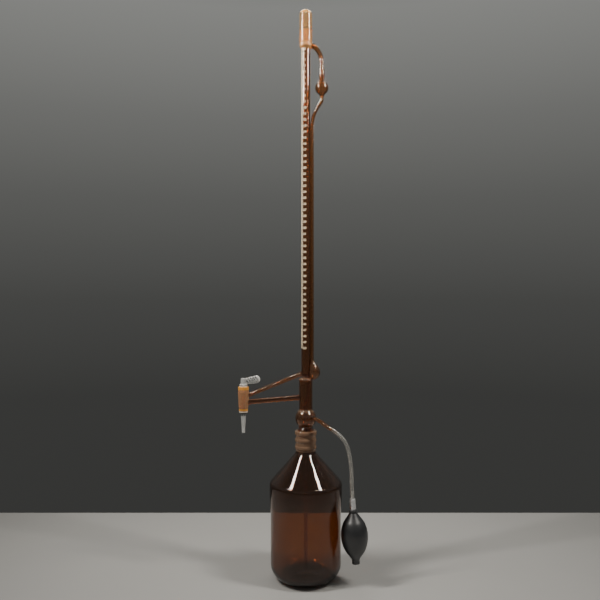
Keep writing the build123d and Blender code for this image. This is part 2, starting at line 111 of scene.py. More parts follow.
def build(name, verts, faces, fix=True, sharp=38):
    mesh = bpy.data.meshes.new(name)
    mesh.from_pydata([Vector(v) * MM for v in verts], [], faces)
    if fix:
        bm = bmesh.new()
        bm.from_mesh(mesh)
        bmesh.ops.remove_doubles(bm, verts=bm.verts, dist=1e-7)
        bmesh.ops.dissolve_degenerate(bm, edges=bm.edges, dist=1e-8)
        bmesh.ops.recalc_face_normals(bm, faces=bm.faces)
        bm.to_mesh(mesh)
        bm.free()
    shade(mesh, sharp)
    obj = bpy.data.objects.new(name, mesh)
    scene.collection.objects.link(obj)
    return obj


def shade(mesh, sharp=38):
    mesh.polygons.foreach_set("use_smooth", [True] * len(mesh.polygons))
    mesh.set_sharp_from_angle(angle=math.radians(sharp))
    mesh.update()


def turned(name, rz, segs=96, place=None, closed=True, shape=None, sharp=38):
    """A closed body turned about Z from (r, z) points, then put in place by a matrix in millimetres."""
    verts, rings = [], []
    for r, z in rz:
        if r < 1e-6:
            rings.append([len(verts)])
            verts.append(Vector((0, 0, z)))
            continue
        rings.append(list(range(len(verts), len(verts) + segs)))
        for k in range(segs):
            a = 2 * math.pi * k / segs
            rr = shape(r, z, a) if shape else r
            verts.append(Vector((rr * math.cos(a), rr * math.sin(a), z)))
    faces = []
    pairs = list(zip(rings, rings[1:]))
    if closed and not (len(rings[0]) == 1 and len(rings[-1]) == 1):
        pairs.append((rings[-1], rings[0]))
    for a, b in pairs:
        if len(a) == 1 and len(b) == 1:
            continue
        for k in range(segs):
            m = (k + 1) % segs
            if len(a) == 1:
                faces.append((a[0], b[m], b[k]))
            elif len(b) == 1:
                faces.append((a[k], a[m], b[0]))
            else:
                faces.append((a[k], a[m], b[m], b[k]))
    if place is not None:
        verts = [place @ v for v in verts]
    return build(name, verts, faces, sharp=sharp)


def route(points, share=0.45, top=250.0, step=math.radians(6), length=6.0):
    """Points along straight runs joined by tangent arcs, none further apart than length."""
    pts = [Vector(p) for p in points]
    out = [pts[0]]
    for i in range(1, len(pts) - 1):
        a, b = pts[i] - pts[i - 1], pts[i + 1] - pts[i]
        turn = a.angle(b)
        r = min(top, share * min(a.length, b.length) / math.tan(turn / 2)) if turn > 1e-4 else 0
        out += arc_points(pts[i - 1], pts[i], pts[i + 1], r, step)
    out.append(pts[-1])
    full = [out[0]]
    for p in out[1:]:
        gap = (p - full[-1]).length
        if gap < 1e-5:
            continue
        n = max(1, math.ceil(gap / length))
        start = full[-1].copy()
        full += [start.lerp(p, k / n) for k in range(1, n + 1)]
    return full


def frames(pts, first=Vector((0, 1, 0))):
    """(centre, side, up) for each point of a path, turning as little as possible."""
    tangents = []
    for i, p in enumerate(pts):
        a = pts[i + 1] - p if i + 1 < len(pts) else p - pts[i - 1]
        b = p - pts[i - 1] if i else a
        tangents.append((a.normalized() + b.normalized()).normalized())
    side = (first - tangents[0] * first.dot(tangents[0])).normalized()
    out = []
    for p, t in zip(pts, tangents):
        side = (side - t * side.dot(t)).normalized()
        out.append((p, side, t.cross(side)))
    return out


def ringed(name, rings, segs=40, caps=True, oval=None, sharp=38):
    """A closed body through rings of (centre, side, up, radius). oval changes a radius by angle and ring."""
    verts, faces = [], []
    for j, (c, s, u, r) in enumerate(rings):
        for k in range(segs):
            a = 2 * math.pi * k / segs
            ra, rb = oval(j, a) if oval else (r, r)
            verts.append(c + s * (ra * math.cos(a)) + u * (rb * math.sin(a)))
    for j in range(len(rings) - 1):
        for k in range(segs):
            m = (k + 1) % segs
            faces.append((j * segs + k, j * segs + m, (j + 1) * segs + m, (j + 1) * segs + k))
    if caps:
        last = (len(rings) - 1) * segs
        faces.append(tuple(reversed(range(segs))))
        faces.append(tuple(range(last, last + segs)))
    return build(name, verts, faces, sharp=sharp)


def swept(name, pts, radius, segs=40):
    """A rod along a path. radius is a number, or a function of the share of the length and the point."""
    total = sum((b - a).length for a, b in zip(pts, pts[1:]))
    done, rings = 0.0, []
    for i, (c, s, u) in enumerate(frames(pts)):
        done += (pts[i] - pts[i - 1]).length if i else 0.0
        rings.append((c, s, u, radius(done, total, c) if callable(radius) else radius))
    return ringed(name, rings, segs)


def rod(name, a, b, r, segs=40, length=1e9):
    a, b = Vector(a), Vector(b)
    n = max(1, math.ceil((b - a).length / length))
    return swept(name, [a.lerp(b, k / n) for k in range(n + 1)], r, segs)


def combine(name, first, steps, sharp=38):
    """first with each (operation, object) of steps worked into it, as one closed mesh."""
    for k, (operation, other) in enumerate(steps):
        m = first.modifiers.new(f"step_{k}", "BOOLEAN")
        m.object, m.operation, m.solver = other, operation, "MANIFOLD"
    bpy.context.view_layer.update()
    mesh = bpy.data.meshes.new_from_object(first.evaluated_get(bpy.context.evaluated_depsgraph_get()))
    mesh.name = name
    for o in [first] + [o for _, o in steps]:
        bpy.data.objects.remove(o)
    mesh.materials.clear()
    bm = bmesh.new()
    bm.from_mesh(mesh)
    bmesh.ops.remove_doubles(bm, verts=bm.verts, dist=2e-7)
    bmesh.ops.dissolve_degenerate(bm, edges=bm.edges, dist=1e-8)
    bm.to_mesh(mesh)
    bm.free()
    shade(mesh, sharp)
    obj = bpy.data.objects.new(name, mesh)
    scene.collection.objects.link(obj)
    print(name, "faces", len(mesh.polygons), "open edges", open_edges(mesh))
    return obj


def open_edges(mesh):
    bm = bmesh.new()
    bm.from_mesh(mesh)
    n = sum(1 for e in bm.edges if len(e.link_faces) != 2)
    bm.free()
    return n


def mark(obj, test):
    """Writes how ground each face is, from 0 to 1, into the attribute ground, from its centre in millimetres. Some
    marked zones are not ground glass but painted highlights.
    """
    mesh = obj.data
    layer = mesh.attributes.new("ground", "FLOAT_COLOR", "CORNER")
    for poly in mesh.polygons:
        c = poly.center / MM
        v = float(test(c, poly.normal))
        for i in poly.loop_indices:
            layer.data[i].color = (v, v, v, 1.0)


# ---------------------------------------------------------------- sizes shared with the CAD
SHOULDER_R, BODY_R, HEEL, WALL, RIM_Z = 65.2, 63.3, 28.0, 3.0, 265.0
NECK_R, BEAD_R = 17.7, 19.3
JOINT_TOP_R, TAPER, JOINT_LEN, JOINT_GAP = 14.60, 0.05, 32.0, 0.06
STEM_R, STEM_BORE_R, STEM_TOP_Z = 11.9, 9.6, 360.0
INLET_R, INLET_Z = 18.8, 287.1
TUBE_R, TUBE_BORE_R, TUBE_TOP_Z = 7.9, 5.44, 951.0
ZERO_Z, FULL_Z = 951.2, 413.2
HEAD_R, SEAT_Z, PORT_Z = 11.2, 962.0, 958.4
CONE_R, CONE_TOP_Z = 8.9, 984.0
CAP_R, CAP_TOP_Z = 11.6, 1021.0
SIDE_R, SIDE_BORE_R, TOP_R, TOP_BORE_R = 3.2, 1.7, 4.2, 2.6
SPLASH_R, SPLASH_X, SPLASH_Z = 12.0, 28.8, 881.0
FOOT_X, FOOT_TOP_Z = 11.15, 394.0
COCK_X, COCK_TOP_Z, COCK_BOTTOM_Z = -112.2, 343.8, 300.0
HOSE_R, HOSE_BORE_R = 3.4, 2.2
HOSE_ROUTE = [
    (45.2, -28.5, 272.0),
    (63.4, -29.8, 260.0),
    (73.6, -30.8, 240.6),
    (77.9, -31.3, 218.6),
    (80.0, -31.7, 196.6),
    (80.1, -32.0, 174.5),
    (81.3, -32.2, 152.5),
]
P = [Vector(p) for p in HOSE_ROUTE]


def socket_r(z):
    return JOINT_TOP_R - TAPER * (RIM_Z - z)


def plug_r(z):
    return 7.25 - TAPER * (COCK_TOP_Z - z)


# ---------------------------------------------------------------- hose
curve = bpy.data.curves.new("hose_line", "CURVE")
curve.dimensions = "3D"
spline = curve.splines.new("NURBS")
spline.points.add(len(P) - 1)
for point, p in zip(spline.points, P):
    point.co = (*(p * MM), 1.0)
spline.order_u = 3
spline.use_endpoint_u = True
spline.resolution_u = 12
holder = bpy.data.objects.new("hose_line", curve)
scene.collection.objects.link(holder)
bpy.context.view_layer.update()
line = bpy.data.meshes.new_from_object(holder.evaluated_get(bpy.context.evaluated_depsgraph_get()))
hose_path = [v.co / MM for v in line.vertices]
bpy.data.objects.remove(holder)
bpy.data.curves.remove(curve)
bpy.data.meshes.remove(line)
if (hose_path[0] - P[0]).length > (hose_path[-1] - P[0]).length:
    hose_path.reverse()

out_rings, in_rings = [], []
for i, (c, s, u) in enumerate(frames(hose_path)):
    out_rings.append((c, s, u))
    in_rings.append((c, s, u))
SEG = 32
verts, faces = [], []
for rings, r in ((out_rings, HOSE_R), (in_rings, HOSE_BORE_R)):
    for j, (c, s, u) in enumerate(rings):
        rr = r - 0.22 if r == HOSE_R and j in (0, len(rings) - 1) else r
        for k in range(SEG):
            a = 2 * math.pi * k / SEG
            verts.append(c + s * (rr * math.cos(a)) + u * (rr * math.sin(a)))
count = len(out_rings)
for shell in (0, 1):
    base = shell * count * SEG
    for j in range(count - 1):
        for k in range(SEG):
            m = (k + 1) % SEG
            faces.append((base + j * SEG + k, base + j * SEG + m, base + (j + 1) * SEG + m, base + (j + 1) * SEG + k))
for j in (0, count - 1):
    for k in range(SEG):
        m = (k + 1) % SEG
        faces.append((j * SEG + k, j * SEG + m, (count + j) * SEG + m, (count + j) * SEG + k))
hose = build("hose_soft", verts, faces)
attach(hose, HOME["hose"])
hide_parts("hose")

# ---------------------------------------------------------------- reservoir bottle
slope = 0.875
shoulder_z = 218.6 - (SHOULDER_R - 24.2) / slope
neck_foot_z = 218.6 + (24.2 - NECK_R) / slope
inner_shoulder_z = 216.6 - (SHOULDER_R - WALL - 21.9) / slope
bottle_rz = outline(
    [
        (0.0, 5.0),
        (9.0, 4.6, 20.0),
        (24.0, 0.0, 4.0),
        (BODY_R, 0.0, HEEL),
        (BODY_R, 118.0, 120.0),
        (SHOULDER_R, 150.0, 60.0),
        (SHOULDER_R, shoulder_z, 13.0),
        (NECK_R, neck_foot_z, 9.0),
        (NECK_R, 230.6, 1.2),
        (BEAD_R, 232.8, 1.7),
        (BEAD_R, 236.8, 1.7),
        (NECK_R + 0.5, 239.0, 1.4),
        (NECK_R + 0.5, 244.2, 1.4),
        (BEAD_R, 246.2, 1.7),
        (BEAD_R, 249.8, 1.7),
        (NECK_R + 0.5, 252.0, 1.4),
        (NECK_R + 0.5, 256.4, 1.2),
        (BEAD_R + 0.4, 258.6, 1.6),
        (BEAD_R + 0.4, RIM_Z, 2.2),
        (JOINT_TOP_R, RIM_Z, 0.5),
        (socket_r(RIM_Z - JOINT_LEN), RIM_Z - JOINT_LEN),
        (13.3, 232.7),
        (13.3, 216.6 + (21.9 - 13.3) / slope, 6.0),
        (SHOULDER_R - WALL, inner_shoulder_z, 10.0),
        (SHOULDER_R - WALL, 150.0, 63.0),
        (BODY_R - WALL, 118.0, 117.0),
        (BODY_R - WALL, 5.5, HEEL - 3.5),
        (26.0, 5.5, 8.0),
        (9.0, 9.6, 20.0),
        (0.0, 10.0),
    ],
    step=math.radians(5),
)


bottle = turned("bottle_glass", bottle_rz, segs=160, sharp=30)


def bottle_faces(c, n):
    """The ground socket, and the duller outside of the neck."""
    r = math.hypot(c.x, c.y)
    if 233.2 < c.z < 264.8 and r < 14.7 and n.x * c.x + n.y * c.y < 0:
        return 1.0
    return 0.5 if c.z > 229.0 and r > 16.0 else 0.0


mark(bottle, bottle_faces)
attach(bottle, "reservoir")
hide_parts("reservoir_bottle")

# ---------------------------------------------------------------- burette glass
cone_r = lambda z: socket_r(z) - JOINT_GAP
low_cut = math.sqrt(INLET_R**2 - 13.4**2)
high_cut = math.sqrt(INLET_R**2 - 12.9**2)
ri = INLET_R - 2.0
low_in = math.sqrt(ri**2 - 10.6**2)
high_in = math.sqrt(ri**2 - 10.1**2)
column_rz = (
    outline(
        [
            (0.0, 231.5),
            (cone_r(231.5), 231.5, 0.6),
            (cone_r(RIM_Z), RIM_Z),
            (cone_r(RIM_Z), 267.0, 1.6),
            (12.3, 270.0, 2.5),
            (12.3, 271.6),
        ]
    )
    + [(12.4, 272.3), (12.7, 273.1)]
    + ball_arc(INLET_Z, INLET_R, INLET_Z - low_cut, INLET_Z + high_cut, 26)
    + [(12.35, 301.6), (12.05, 302.5)]
    + outline(
        [
            (STEM_R, 303.5),
            (STEM_R, 358.0, 3.0),
            (6.4, STEM_TOP_Z, 0.8),
            (TUBE_R, 362.6, 2.0),
            (TUBE_R, TUBE_TOP_Z, 3.0),
            (HEAD_R, 955.2, 2.4),
            (HEAD_R, SEAT_Z, 1.0),
            (CONE_R, SEAT_Z, 0.3),
            (CONE_R - TAPER * (CONE_TOP_Z - SEAT_Z), CONE_TOP_Z, 0.6),
            (0.0, CONE_TOP_Z),
        ]
    )
)
stem_void = (
    outline(
        [
            (0.0, 230.0),
            (10.4, 230.0),
            (10.4, 231.5),
            (11.2, 264.5, 2.0),
            (10.2, 268.4, 2.0),
            (10.2, 271.6),
        ]
    )
    + [(10.3, 272.9)]
    + ball_arc(INLET_Z, ri, INLET_Z - low_in, INLET_Z + high_in, 24)
    + [(9.7, 302.0)]
    + outline([(STEM_BORE_R, 303.5), (STEM_BORE_R, 355.5, 2.0), (0.0, 355.5)])
)
scale_void = outline(
    [
        (0.0, 364.5),
        (TUBE_BORE_R, 365.5, 3.6),
        (TUBE_BORE_R, TUBE_TOP_Z, 3.0),
        (8.7, 956.4, 2.0),
        (8.7, 961.4, 2.0),
        (6.6, 965.0, 3.0),
        (6.6, CONE_TOP_Z, 0.0),
        (6.6, CONE_TOP_Z + 1.0),
        (0.0, CONE_TOP_Z + 1.0),
    ]
)

# filling tube: head, arc, swelling, splash bulb, long straight run and the pocket at its foot
NECK, LOW_NECK = 14.6, 18.0
top_points = [(9.0, 0, PORT_Z), (18.4, 0, 953.6), (26.4, 0, 941.2), (SPLASH_X, 0, 928.0), (SPLASH_X, 0, 918.0)]
side_points = [
    (SPLASH_X, 0, SPLASH_Z - LOW_NECK),
    (SPLASH_X, 0, 857.0),
    (21.2, 0, 846.4),
    (14.0, 0, 832.4),
    (FOOT_X, 0, 816.0),
    (FOOT_X, 0, FOOT_TOP_Z),
]
swell = [(4.2, 918.0), (4.8, 912.5), (5.5, 905.5), (5.0, 900.0), (4.2, SPLASH_Z + NECK)]
foot_rings = [
    (FOOT_X, FOOT_TOP_Z, SIDE_R, SIDE_R - SIDE_BORE_R),
    (FOOT_X + 0.8, 388.5, 4.1, 1.6),
    (FOOT_X + 2.4, 382.5, 6.9, 1.7),
    (FOOT_X + 3.5, 376.5, 9.8, 1.8),
    (FOOT_X + 3.9, 370.5, 10.8, 1.8),
    (FOOT_X + 3.9, 364.5, 9.9, 1.8),
    (FOOT_X + 3.6, 359.6, 7.0, 2.0),
    (FOOT_X + 3.4, 356.8, 2.8, 2.0),
]
Y, Z = Vector((0, 1, 0)), Vector((0, 0, 1))


def side_rings(inside):
    """Rings of the whole filling tube, from the head down to the pocket."""
    rings = []
    walk = frames(route(top_points, length=3.0))
    done = 0.0
    for i, (c, s, u) in enumerate(walk):
        done += (c - walk[i - 1][0]).length if i else 0.0
        if inside:
            r = 1.6 + (TOP_BORE_R - 1.6) * min(1.0, max(0.0, (done - 2.0) / 3.0))
        else:
            r = 3.5 + 1.25 * math.exp(-(((done - 3.2) / 2.2) ** 2)) + (TOP_R - 3.5) * min(1.0, done / 4.0)
        rings.append((c, s, u, r))
    wall = 1.6 if inside else 0.0
    down = lambda z, r, x=SPLASH_X: (Vector((x, 0, z)), Y, Vector((-1, 0, 0)), r)
    for r, z in smooth(swell, 5)[1:-1]:
        rings.append(down(z, r - wall))
    ball_r = SPLASH_R - 1.7 if inside else SPLASH_R
    ball_neck = 3.4 if inside else 5.2
    reach = math.sqrt(ball_r**2 - ball_neck**2)
    tr = TOP_BORE_R if inside else TOP_R
    rings.append(down(SPLASH_Z + NECK, tr))
    rings.append(down(SPLASH_Z + 12.5, 2.7 if inside else 4.35))
    for r, z in reversed(ball_arc(SPLASH_Z, ball_r, SPLASH_Z - reach, SPLASH_Z + reach, 22)):
        rings.append(down(z, r))
    low = [(2.5, -12.0), (1.9, -15.0)] if inside else [(4.2, -13.4), (3.5, -15.8)]
    for r, dz in low:
        rings.append(down(SPLASH_Z + dz, r))
    r = SIDE_BORE_R if inside else SIDE_R
    for c, s, u in frames(route(side_points, top=60.0, length=40.0)):
        rings.append((c, s, u, r))
    ends = foot_rings[:-1] if inside else foot_rings
    for x, z, rr, w in smooth(ends, 5)[1:]:
        rings.append(down(z, rr - (w if inside else 0.0), x))
    return rings


def aligned(rings):
    """The same rings with every side along Y, so that no ring is twisted."""
    out = []
    for i, (c, s, u, r) in enumerate(rings):
        a = rings[min(i + 1, len(rings) - 1)][0] - rings[max(i - 1, 0)][0]
        n = u.cross(s)
        if n.dot(a) < 0:
            n = -n
        out.append((c, Y, n.normalized().cross(Y), r))
    return out


side_outer = ringed("side_outer", aligned(side_rings(False)), 56)
side_inner = ringed("side_inner", aligned(side_rings(True)), 40)

arm_z = lambda x: 357.8 + 0.404 * (x + 30.2)
brace_z = lambda x: 322.3 + 0.0876 * (x + 30.2)


def flared(r, x0, x1, extra):
    """Rod radius that opens out where the glass is sealed at x0 and x1."""
    return lambda d, total, c: r + extra * (math.exp(-abs(c.x - x0) / 2.6) + math.exp(-abs(c.x - x1) / 2.6))


arm = rod("arm", (-5.0, 0, arm_z(-5.0)), (-110.0, 0, arm_z(-110.0)), flared(3.4, -8.2, -103.0, 1.3), 40, 0.9)
brace = rod("brace", (-8.0, 0, brace_z(-8.0)), (-110.0, 0, brace_z(-110.0)), flared(4.3, -12.2, -102.6, 1.2), 40, 0.9)
cock = Matrix.Translation((COCK_X, 0, 0))
barrel = turned(
    "barrel",
    outline(
        [
            (0.0, COCK_BOTTOM_Z),
            (8.2, COCK_BOTTOM_Z, 0.9),
            (8.2, 304.0, 1.0),
            (8.9, 306.5, 2.0),
            (10.1, 333.5, 3.0),
            (9.5, 338.0, 1.5),
            (9.5, COCK_TOP_Z, 1.3),
            (0.0, COCK_TOP_Z),
        ]
    ),
    72,
    cock,
)
plug_hole = turned(
    "plug_hole",
    [
        (0.0, COCK_BOTTOM_Z - 1.0),
        (plug_r(COCK_BOTTOM_Z - 1.0), COCK_BOTTOM_Z - 1.0),
        (plug_r(COCK_TOP_Z + 1.0), COCK_TOP_Z + 1.0),
        (0.0, COCK_TOP_Z + 1.0),
    ],
    72,
    cock,
)
ahead = (P[1] - P[0]).normalized()
u50 = Vector((math.cos(math.radians(50)), -math.sin(math.radians(50)), 0))
air_points = [u50 * 14.0 + Vector((0, 0, 291.5)), (17.0, -20.0, 289.5), (25.0, -25.2, 286.0), P[0] - ahead * 14.0, P[0]]
air_bore = [u50 * 12.0 + Vector((0, 0, 291.7)), (17.0, -20.0, 289.5), (25.0, -25.2, 286.0), P[0] - ahead * 14.0, P[0] + ahead * 12.0]
riser_points = [(0, 0, 14.0), (0, 0, 262.0), (0, 0, 312.0), (5.0, 0, 330.0), (5.0, 0, 356.6)]
riser_bore = [(0, 0, 8.0), (0, 0, 262.0), (0, 0, 312.0), (5.0, 0, 330.0), (5.0, 0, 355.0)]
tip_points = [(9.6, 0, PORT_Z), (0.4, 0, PORT_Z), (0.4, 0, ZERO_Z)]
tip_bore = [(9.9, 0, PORT_Z), (0.4, 0, PORT_Z), (0.4, 0, ZERO_Z - 2)]
slant = build(
    "slant",
    [Vector((x, y, z + (x * math.tan(math.radians(-24)) if z > 0 else 0))) for x in (-9, 9) for y in (-9, 9) for z in (-20, 14.2)],
    [(0, 1, 3, 2), (4, 6, 7, 5), (0, 4, 5, 1), (2, 3, 7, 6), (0, 2, 6, 4), (1, 5, 7, 3)],
)
glass = combine(
    "burette_glass",
    side_outer,
    [
        ("DIFFERENCE", side_inner),
        ("UNION", turned("column", column_rz, 96)),
        ("UNION", arm),
        ("UNION", brace),
        ("UNION", barrel),
        ("UNION", swept("air", route(air_points, length=3.0), lambda d, t, c: 3.3 + 1.3 * math.exp(-((max(0.0, d - 3.0) / 2.4) ** 2)))),
        ("UNION", rod("nozzle", P[0] - ahead, P[0] + ahead * 11.0, 2.15, 32, 0.8)),
        ("DIFFERENCE", turned("stem_void", stem_void, 80)),
        ("DIFFERENCE", turned("scale_void", scale_void, 72)),
        ("UNION", swept("riser", route(riser_points, length=60.0), 3.0, 32)),
        ("UNION", swept("tip", route(tip_points, share=0.4, length=2.0), lambda d, t, c: 1.75 - 0.45 * max(0.0, (d - t + 5.0) / 5.0), 32)),
        ("DIFFERENCE", swept("riser_bore", route(riser_bore, length=60.0), 1.7, 28)),
        ("DIFFERENCE", rod("riser_port", (5.0, 0, 354.0), (13.8, 0, 365.5), 1.7, 28)),
        ("DIFFERENCE", swept("tip_bore", route(tip_bore, share=0.4, length=2.0), 0.9, 28)),
        ("DIFFERENCE", rod("head_port", (9.3, 0, PORT_Z), (12.6, 0, PORT_Z - 0.8), 1.55, 28)),
        ("DIFFERENCE", plug_hole),
        ("DIFFERENCE", rod("arm_bore", (-2.0, 0, arm_z(-2.0)), (-108.0, 0, arm_z(-108.0)), 1.0, 24)),
        ("DIFFERENCE", swept("air_bore", route(air_bore, length=3.0), lambda d, t, c: 1.6 if t - d > 13.5 else 1.3, 28)),
        ("DIFFERENCE", slant),
    ],
    sharp=32,
)


# How dulled each face of the burette glass is: the joints and the stopcock bore are ground glass, and some bands are
# dulled only as painted highlights and painted glow.
def ground_faces(c, n):
    r = math.hypot(c.x, c.y)
    if 233.2 < c.z < 264.6 and 12.5 < r < 14.8:
        return 1.0
    if SEAT_Z + 0.6 < c.z < CONE_TOP_Z - 1.0 and 7.4 < r < 9.1:
        return 1.0
    # The outside of the head under the cap is dulled like ground glass and lightened, partly as a painted glow of light
    # through the head.
    if TUBE_TOP_Z - 0.5 < c.z < SEAT_Z + 0.7 and 7.8 < r < 11.4:
        return 0.6
    # The shoulder at the top of the stem and the ring where the stem meets the inlet bulb are lightly dulled as painted
    # highlights, not ground glass.
    if (355.0 < c.z < 362.8 and 6.0 < r < 12.2) or (299.0 < c.z < 304.0 and 11.5 < r < 15.5):
        return 0.14
    q = math.hypot(c.x - COCK_X, c.y)
    if q < 11 and COCK_BOTTOM_Z - 1 < c.z < COCK_TOP_Z + 1:
        return 1.0 if q < 7.5 or c.z > 339.5 or c.z < 303.6 else 0.42
    return 0.0


mark(glass, ground_faces)
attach(glass, "burette")
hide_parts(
    "ground_cone", "inlet_bulb", "stem_tube", "riser_tube", "dip_tube", "graduated_tube", "zero_head",
    "zero_tip", "filling_tube_top", "splash_bulb", "filling_tube", "filling_tube_foot", "outlet_arm", "brace_rod",
    "stopcock_barrel", "air_inlet_tube",
)

# ---------------------------------------------------------------- enamel scale
PER_ML = (ZERO_Z - FULL_Z) / 50.0
FLARE_R = 3.0
FLARE_FROM = TUBE_TOP_Z - FLARE_R * math.tan(math.atan2(HEAD_R - TUBE_R, 955.2 - TUBE_TOP_Z) / 2)


def tube_at(z):
    """Outer radius of the glass, which starts to open out into the head just under the 0 mark."""
    return TUBE_R + FLARE_R - math.sqrt(FLARE_R**2 - max(0.0, z - FLARE_FROM) ** 2)


def around(angle, z, r):
    """A point on the tube: angle in degrees to the right of the front."""
    a = math.radians(angle)
    return Vector((r * math.sin(a), -r * math.cos(a), z))


verts, faces = [], []
for k in range(501):
    z = ZERO_Z - PER_ML * k / 10.0
    if k % 10 == 0:
        a0, a1, h = -84.0, -31.0, 0.31
    elif k % 5 == 0:
        a0, a1, h = -84.0, -38.0, 0.29
    else:
        a0, a1, h = -84.0, -45.0, 0.28
    n = max(4, round((a1 - a0) / 7.0))
    base = len(verts)
    for j in range(n + 1):
        a = a0 + (a1 - a0) * j / n
        for r, dz in ((-0.05, -h), (0.055, -h), (0.055, h), (-0.05, h)):
            verts.append(around(a, z + dz, tube_at(z + dz) + r))
    for j in range(n):
        for e in range(4):
            f = (e + 1) % 4
            faces.append((base + 4 * j + e, base + 4 * j + f, base + 4 * j + 4 + f, base + 4 * j + 4 + e))
    faces.append((base, base + 1, base + 2, base + 3))
    faces.append((base + 4 * n + 3, base + 4 * n + 2, base + 4 * n + 1, base + 4 * n))
marks = build("scale_marks", verts, faces, sharp=40)


def lettering(name, items, size, weight=0.0):
    """Raised figures wrapped on the tube. items are (text, angle in degrees, height)."""
    joined = bmesh.new()
    for text, angle, z in items:
        data = bpy.data.curves.new("figure", "FONT")
        data.body, data.size = text, size
        data.align_x, data.align_y = "CENTER", "CENTER"
        data.extrude, data.offset, data.resolution_u = 0.05, weight, 3
        obj = bpy.data.objects.new("figure", data)
        scene.collection.objects.link(obj)
        bpy.context.view_layer.update()
        mesh = bpy.data.meshes.new_from_object(obj.evaluated_get(bpy.context.evaluated_depsgraph_get()))
        bm = bmesh.new()
        bm.from_mesh(mesh)
        bmesh.ops.remove_doubles(bm, verts=bm.verts, dist=1e-5)
        long = [e for e in bm.edges if abs(e.verts[0].co.x - e.verts[1].co.x) > 0.5]
        if long:
            bmesh.ops.subdivide_edges(bm, edges=long, cuts=2, use_grid_fill=True)
        for v in bm.verts:
            x, y, d = v.co
            v.co = around(angle + math.degrees(x / TUBE_R), z + y, TUBE_R + 0.01 + d) * MM
        bm.to_mesh(mesh)
        bm.free()
        joined.from_mesh(mesh)
        bpy.data.objects.remove(obj)
        bpy.data.meshes.remove(mesh)
        bpy.data.curves.remove(data)
    mesh = bpy.data.meshes.new(name)
    joined.to_mesh(mesh)
    joined.free()
    mesh.polygons.foreach_set("use_smooth", [False] * len(mesh.polygons))
    obj = bpy.data.objects.new(name, mesh)
    scene.collection.objects.link(obj)
    return obj


# the 0 stands a little under its line, where the tube is still straight
figures = lettering(
    "scale_numerals",
    [(str(k), -14.0, ZERO_Z - PER_ML * k - (0.0 if k else 2.9)) for k in range(51)],
    5.8,
    0.15,
)
for piece in (marks, figures):
    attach(piece, "burette")

# ---------------------------------------------------------------- dust cap
low = SEAT_Z + 0.15
cap_rz = outline(
    [
        (CONE_R + JOINT_GAP, low),
        (CAP_R, low, 0.8),
        (CAP_R, CAP_TOP_Z - 1.0, 8.6),
        (0.0, CAP_TOP_Z),
        (0.0, CAP_TOP_Z - 2.2),
        (CAP_R - 2.2, CAP_TOP_Z - 3.0, 6.4),
        (CAP_R - 2.2, 989.0, 2.0),
        (CONE_R + JOINT_GAP - TAPER * (985.5 - SEAT_Z), 985.5, 1.0),
        (CONE_R + JOINT_GAP, low),
    ]
)[:-1]
vent = rod("vent", (0, -4, 1011.5), (0, -14, 1011.5), 2.0, 40)
cap = combine("cap_glass", turned("cap_blank", cap_rz, 96), [("DIFFERENCE", vent)], sharp=32)
mark(cap, lambda c, n: (c.z < 985.2 and math.hypot(c.x, c.y) < 9.2) or (c.y < -6 and math.hypot(c.x, c.z - 1011.5) < 2.15))
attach(cap, "cap")
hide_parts("dust_cap")

# ---------------------------------------------------------------- stopcock key, clear
key_r = lambda z: plug_r(z) - 0.03
port_z = arm_z(COCK_X + 6.4)
key_rz = outline(
    [
        (0.0, 359.0),
        (4.8, 359.0, 2.4),
        (5.3, 349.0, 2.0),
        (key_r(346.2), 346.6, 1.0),
        (key_r(345.2), 345.2),
        (key_r(297.0), 297.0, 0.3),
        (4.1, 297.0),
        (4.1, 295.0),
        (4.7, 295.0, 0.4),
        (4.65, 291.0, 3.0),
        (3.05, 268.6, 8.0),
        (3.05, 261.0, 0.5),
        (0.8, 261.0),
        (0.8, 296.0),
        (1.1, 300.0),
        (1.1, port_z),
        (0.0, port_z),
    ]
)
key_blank = turned("key_blank", key_rz, 72, cock)
lo_c, hi_c = Vector((4.5, 0, 353.2)), Vector((22.9, 0, 356.6))
axis = (hi_c - lo_c).normalized()
gap = (hi_c - lo_c).length
steps, paddle_rings, sizes = 110, [], []
for j in range(steps + 1):
    s = -5.4 + (gap + 5.4 + 7.1) * (0.5 - 0.5 * math.cos(math.pi * j / steps))
    t = min(1.0, max(0.0, s / gap))
    h = 5.4 + (7.1 - 5.4) * t
    if s < 0:
        h = math.sqrt(max(0.02, 5.4**2 - s**2))
    elif s > gap:
        h = math.sqrt(max(0.02, 7.1**2 - (s - gap) ** 2))
    thick = 2.9 * min(1.0, (h / 5.2)) ** 0.5
    fade = min(1.0, max(0.0, (s - 3.0) / 3.0)) * min(1.0, max(0.0, (gap + 5.5 - s) / 3.0))
    sizes.append((thick, h, s, fade))
    paddle_rings.append((COCK_X * Vector((1, 0, 0)) + lo_c + axis * s, Y, axis.cross(Y), h))


def grip(j, a):
    """Crossed grooves pressed into the handle, so that it can be turned with wet fingers."""
    thick, h, s, fade = sizes[j]
    turn_ = 2 * math.pi * s / 4.6
    cross = max(math.cos(turn_ + 4 * a), math.cos(turn_ - 4 * a))
    cut = 0.62 * fade * (0.5 + 0.5 * cross)
    return thick - cut, h - cut


paddle = ringed("paddle", paddle_rings, 96, oval=grip, sharp=60)
through = rod("through", (COCK_X, 0, port_z - 1.0), (COCK_X + 9.0, 0, port_z - 1.0), 1.1, 24)
key = combine("key_glass", key_blank, [("UNION", paddle), ("DIFFERENCE", through)], sharp=34)


